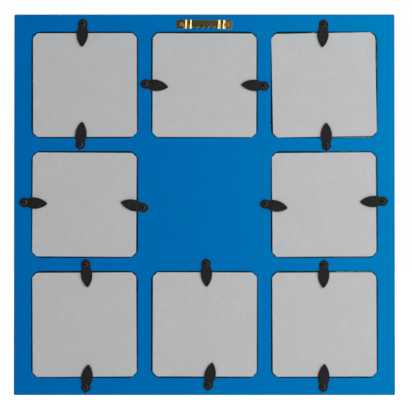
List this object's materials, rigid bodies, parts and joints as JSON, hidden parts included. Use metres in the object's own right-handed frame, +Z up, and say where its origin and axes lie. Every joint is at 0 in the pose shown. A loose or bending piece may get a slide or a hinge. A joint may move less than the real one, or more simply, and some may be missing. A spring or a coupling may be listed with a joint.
{
  "type": "collage photo frame",
  "caption": "Square wall-hung collage photo frame: thick lacquered panel with a ring of square picture openings, backing boards held by turn buttons, sawtooth hanger.",
  "frame": {"origin": "apex of the middle notch of the sawtooth hanger, where the wall nail bears, half way through the hanger's sheet", "axes": "+Z up as the frame hangs, +Y out of the back towards the wall, so the picture side faces -Y and +X is to the viewer's right from the front"},
  "size_m": [0.38, 0.0177, 0.38],
  "materials": {
    "blue_lacquer": "satin lacquer on fibreboard",
    "glass": "clear float glass",
    "insert_paper": "plain uncoated paper",
    "backing_board": "hardboard with a grey paper face",
    "black_steel": "matte black pressed steel",
    "black_screw": "black steel screw",
    "brass": "polished brass plate",
    "brass_nail": "brass plated nail"
  },
  "bodies": {
    "frame": {"frame_panel": "blue_lacquer", "glass_pane_upper_left": "glass", "photo_insert_upper_left": "insert_paper", "backing_board_upper_left": "backing_board", "glass_pane_upper_centre": "glass", "photo_insert_upper_centre": "insert_paper", "backing_board_upper_centre": "backing_board", "glass_pane_upper_right": "glass", "photo_insert_upper_right": "insert_paper", "backing_board_upper_right": "backing_board", "glass_pane_middle_left": "glass", "photo_insert_middle_left": "insert_paper", "backing_board_middle_left": "backing_board", "glass_pane_middle_right": "glass", "photo_insert_middle_right": "insert_paper", "backing_board_middle_right": "backing_board", "glass_pane_lower_left": "glass", "photo_insert_lower_left": "insert_paper", "backing_board_lower_left": "backing_board", "glass_pane_lower_centre": "glass", "photo_insert_lower_centre": "insert_paper", "backing_board_lower_centre": "backing_board", "glass_pane_lower_right": "glass", "photo_insert_lower_right": "insert_paper", "backing_board_lower_right": "backing_board", "turn_button_screws": "black_screw", "sawtooth_hanger": "brass", "hanger_nails": "brass_nail"},
    "turn_button_upper_left_top": {"turn_button_upper_left_top": "black_steel"},
    "turn_button_upper_left_bottom": {"turn_button_upper_left_bottom": "black_steel"},
    "turn_button_upper_centre_left": {"turn_button_upper_centre_left": "black_steel"},
    "turn_button_upper_centre_right": {"turn_button_upper_centre_right": "black_steel"},
    "turn_button_upper_right_top": {"turn_button_upper_right_top": "black_steel"},
    "turn_button_upper_right_bottom": {"turn_button_upper_right_bottom": "black_steel"},
    "turn_button_middle_left_left": {"turn_button_middle_left_left": "black_steel"},
    "turn_button_middle_left_right": {"turn_button_middle_left_right": "black_steel"},
    "turn_button_middle_right_left": {"turn_button_middle_right_left": "black_steel"},
    "turn_button_middle_right_right": {"turn_button_middle_right_right": "black_steel"},
    "turn_button_lower_left_top": {"turn_button_lower_left_top": "black_steel"},
    "turn_button_lower_left_bottom": {"turn_button_lower_left_bottom": "black_steel"},
    "turn_button_lower_centre_top": {"turn_button_lower_centre_top": "black_steel"},
    "turn_button_lower_centre_bottom": {"turn_button_lower_centre_bottom": "black_steel"},
    "turn_button_lower_right_top": {"turn_button_lower_right_top": "black_steel"},
    "turn_button_lower_right_bottom": {"turn_button_lower_right_bottom": "black_steel"}
  },
  "joints": [
    {"name": "turn_button_upper_left_top_pivot", "type": "hinge", "parent": "frame", "child": "turn_button_upper_left_top", "pos_m": [0.12131, -0.00195, 0.00239], "axis": [0, 1, 0], "continuous": true},
    {"name": "turn_button_upper_left_bottom_pivot", "type": "hinge", "parent": "frame", "child": "turn_button_upper_left_bottom", "pos_m": [0.12387, -0.00195, -0.11812], "axis": [0, 1, 0], "continuous": true},
    {"name": "turn_button_upper_centre_left_pivot", "type": "hinge", "parent": "frame", "child": "turn_button_upper_centre_left", "pos_m": [0.05887, -0.00195, -0.05755], "axis": [0, 1, 0], "continuous": true},
    {"name": "turn_button_upper_centre_right_pivot", "type": "hinge", "parent": "frame", "child": "turn_button_upper_centre_right", "pos_m": [-0.05958, -0.00195, -0.05968], "axis": [0, 1, 0], "continuous": true},
    {"name": "turn_button_upper_right_top_pivot", "type": "hinge", "parent": "frame", "child": "turn_button_upper_right_top", "pos_m": [-0.11897, -0.00195, 0.00187], "axis": [0, 1, 0], "continuous": true},
    {"name": "turn_button_upper_right_bottom_pivot", "type": "hinge", "parent": "frame", "child": "turn_button_upper_right_bottom", "pos_m": [-0.12174, -0.00195, -0.11918], "axis": [0, 1, 0], "continuous": true},
    {"name": "turn_button_middle_left_left_pivot", "type": "hinge", "parent": "frame", "child": "turn_button_middle_left_left", "pos_m": [0.17955, -0.00195, -0.17598], "axis": [0, 1, 0], "continuous": true},
    {"name": "turn_button_middle_left_right_pivot", "type": "hinge", "parent": "frame", "child": "turn_button_middle_left_right", "pos_m": [0.06097, -0.00195, -0.1811], "axis": [0, 1, 0], "continuous": true},
    {"name": "turn_button_middle_right_left_pivot", "type": "hinge", "parent": "frame", "child": "turn_button_middle_right_left", "pos_m": [-0.06056, -0.00195, -0.17747], "axis": [0, 1, 0], "continuous": true},
    {"name": "turn_button_middle_right_right_pivot", "type": "hinge", "parent": "frame", "child": "turn_button_middle_right_right", "pos_m": [-0.17811, -0.00195, -0.17481], "axis": [0, 1, 0], "continuous": true},
    {"name": "turn_button_lower_left_top_pivot", "type": "hinge", "parent": "frame", "child": "turn_button_lower_left_top", "pos_m": [0.11822, -0.00195, -0.23775], "axis": [0, 1, 0], "continuous": true},
    {"name": "turn_button_lower_left_bottom_pivot", "type": "hinge", "parent": "frame", "child": "turn_button_lower_left_bottom", "pos_m": [0.11801, -0.00195, -0.36002], "axis": [0, 1, 0], "continuous": true},
    {"name": "turn_button_lower_centre_top_pivot", "type": "hinge", "parent": "frame", "child": "turn_button_lower_centre_top", "pos_m": [-0.0017, -0.00195, -0.23703], "axis": [0, 1, 0], "continuous": true},
    {"name": "turn_button_lower_centre_bottom_pivot", "type": "hinge", "parent": "frame", "child": "turn_button_lower_centre_bottom", "pos_m": [-0.00383, -0.00195, -0.35791], "axis": [0, 1, 0], "continuous": true},
    {"name": "turn_button_lower_right_top_pivot", "type": "hinge", "parent": "frame", "child": "turn_button_lower_right_top", "pos_m": [-0.11918, -0.00195, -0.23831], "axis": [0, 1, 0], "continuous": true},
    {"name": "turn_button_lower_right_bottom_pivot", "type": "hinge", "parent": "frame", "child": "turn_button_lower_right_bottom", "pos_m": [-0.11833, -0.00195, -0.35967], "axis": [0, 1, 0], "continuous": true}
  ]
}
